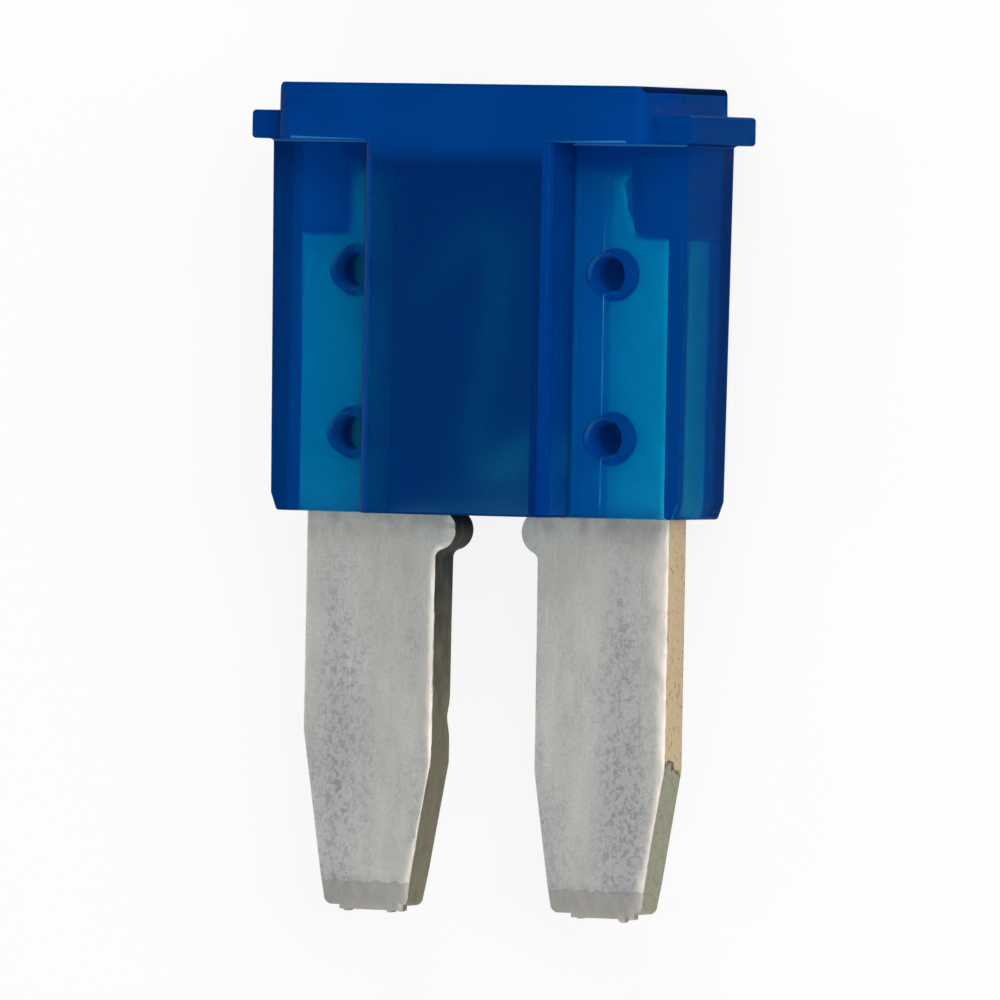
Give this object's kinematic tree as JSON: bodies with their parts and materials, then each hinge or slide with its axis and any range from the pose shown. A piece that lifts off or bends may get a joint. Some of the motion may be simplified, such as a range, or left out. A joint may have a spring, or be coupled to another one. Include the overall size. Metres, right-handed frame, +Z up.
{
  "type": "automotive blade fuse",
  "caption": "Micro-size automotive blade fuse: a translucent blue housing with ears, and a stamped element with two flat blades.",
  "frame": {"origin": "under the middle of the fuse's box, on the surface that it lies on", "axes": "+X across the two blades, +Y from the blade tips to the head, +Z up out of the front face"},
  "size_m": [0.0092, 0.0154, 0.0038],
  "materials": {
    "housing_plastic": "translucent blue, smooth as moulded",
    "plated_zinc": "dull plated zinc alloy with stains and fine scratches"
  },
  "bodies": {
    "root": {"housing": "housing_plastic", "fuse_element": "plated_zinc"}
  },
  "joints": []
}
